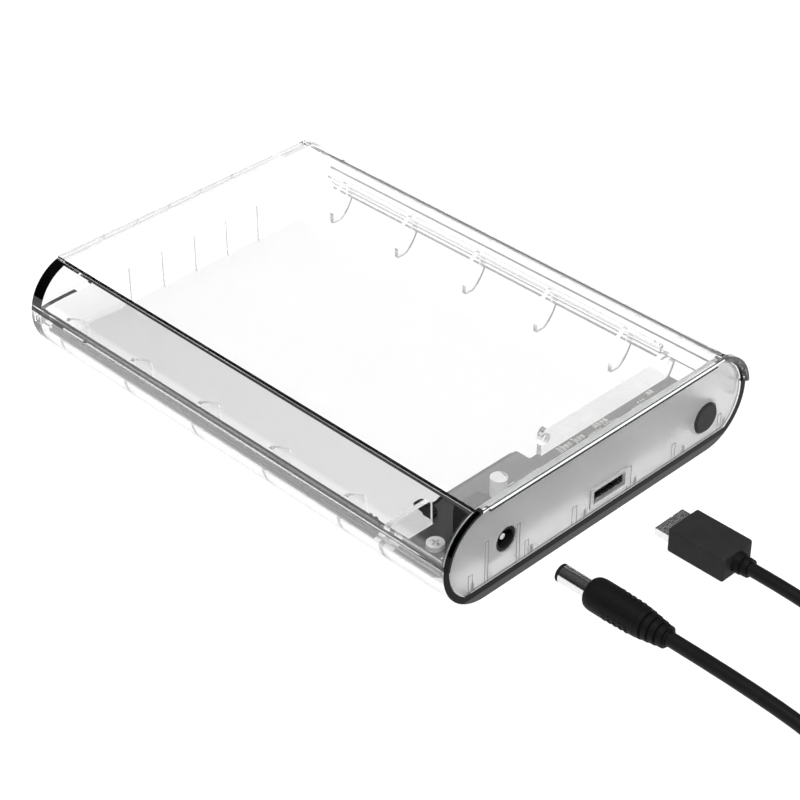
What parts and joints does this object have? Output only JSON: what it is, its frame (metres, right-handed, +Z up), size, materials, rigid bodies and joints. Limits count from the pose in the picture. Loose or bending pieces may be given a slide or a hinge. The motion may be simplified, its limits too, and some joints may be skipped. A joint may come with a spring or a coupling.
{
  "type": "external hard disk enclosure",
  "caption": "Clear rounded external hard disk enclosure with slide-off cover, board, sockets and push button, and its unplugged power and USB leads.",
  "frame": {"origin": "middle of the enclosure's underside, on the surface it stands on", "axes": "+Y along the enclosure away from its ports, +X across it, +Z up"},
  "size_m": [0.1325, 0.502, 0.0335],
  "materials": {
    "clear_plastic": "clear polished polycarbonate",
    "frosted_plastic": "clear polycarbonate with a light frosting",
    "smoked_plastic": "smoke-grey translucent",
    "board": "grey solder mask",
    "steel": "bright nickel plate",
    "chrome": "polished nickel plate",
    "tin": "matt tin plate",
    "gold": "gold flash",
    "aluminium": "satin",
    "black_plastic": "fine matt",
    "soft_black": "soft-touch moulded",
    "button_plastic": "satin dark grey",
    "grey_plastic": "matt",
    "white_plastic": "satin",
    "blue_plastic": "matt",
    "ceramic": "fired ceramic with tinned ends",
    "cord_jacket": "smooth satin jacket"
  },
  "bodies": {
    "tray": {"board_screws": "steel", "bridge_chip": "black_plastic", "bridge_chip_legs": "tin", "capacitor_base": "black_plastic", "capacitor_can": "aluminium", "ceramic_capacitors": "ceramic", "crystal_can": "steel", "drive_connector_contacts": "gold", "drive_connector_housing": "black_plastic", "drive_guide_left": "black_plastic", "lower_shell": "clear_plastic", "main_board": "board", "port_panel": "frosted_plastic", "power_inductor": "grey_plastic", "power_jack_housing": "black_plastic", "power_jack_pin": "steel", "power_jack_spring": "gold", "regulator_chip": "black_plastic", "regulator_chip_legs": "tin", "slide_rail_left": "smoked_plastic", "slide_rail_right": "clear_plastic", "status_led": "white_plastic", "switch_body": "black_plastic", "switch_legs": "tin", "usb_socket_contacts": "gold", "usb_socket_shell": "steel", "usb_socket_tongue": "black_plastic"},
    "cover": {"top_cover": "clear_plastic"},
    "button": {"power_button": "button_plastic", "switch_plunger": "white_plastic"},
    "power_lead": {"adapter_blades": "steel", "adapter_case": "black_plastic", "adapter_strain_relief": "soft_black", "power_cord": "cord_jacket", "power_cord_coil": "cord_jacket", "power_cord_end": "cord_jacket", "power_cord_tie": "soft_black", "power_plug_barrel": "chrome", "power_plug_grip": "soft_black", "power_plug_strain_relief": "soft_black", "power_plug_tip_ring": "black_plastic"},
    "usb_lead": {"computer_plug_grip": "soft_black", "computer_plug_shell": "chrome", "computer_plug_strain_relief": "soft_black", "computer_plug_tongue": "blue_plastic", "usb_cord": "cord_jacket", "usb_cord_coil": "cord_jacket", "usb_cord_end": "cord_jacket", "usb_cord_tie": "soft_black", "usb_plug_contacts": "gold", "usb_plug_grip": "soft_black", "usb_plug_shell": "chrome", "usb_plug_strain_relief": "soft_black"}
  },
  "joints": [
    {"name": "cover_slide", "type": "slide", "parent": "tray", "child": "cover", "axis": [0, 1, 0], "range_m": [0, 0.19]},
    {"name": "button_press", "type": "slide", "parent": "tray", "child": "button", "axis": [0, 1, 0], "range_m": [0, 0.001], "stiffness_N_per_m": 700, "springref_m": -0.001},
    {"name": "power_plug_slide", "type": "slide", "parent": "tray", "child": "power_lead", "axis": [0, 1, 0], "range_m": [0, 0.0313]},
    {"name": "usb_plug_slide", "type": "slide", "parent": "tray", "child": "usb_lead", "axis": [0, 1, 0], "range_m": [0, 0.0269]}
  ]
}
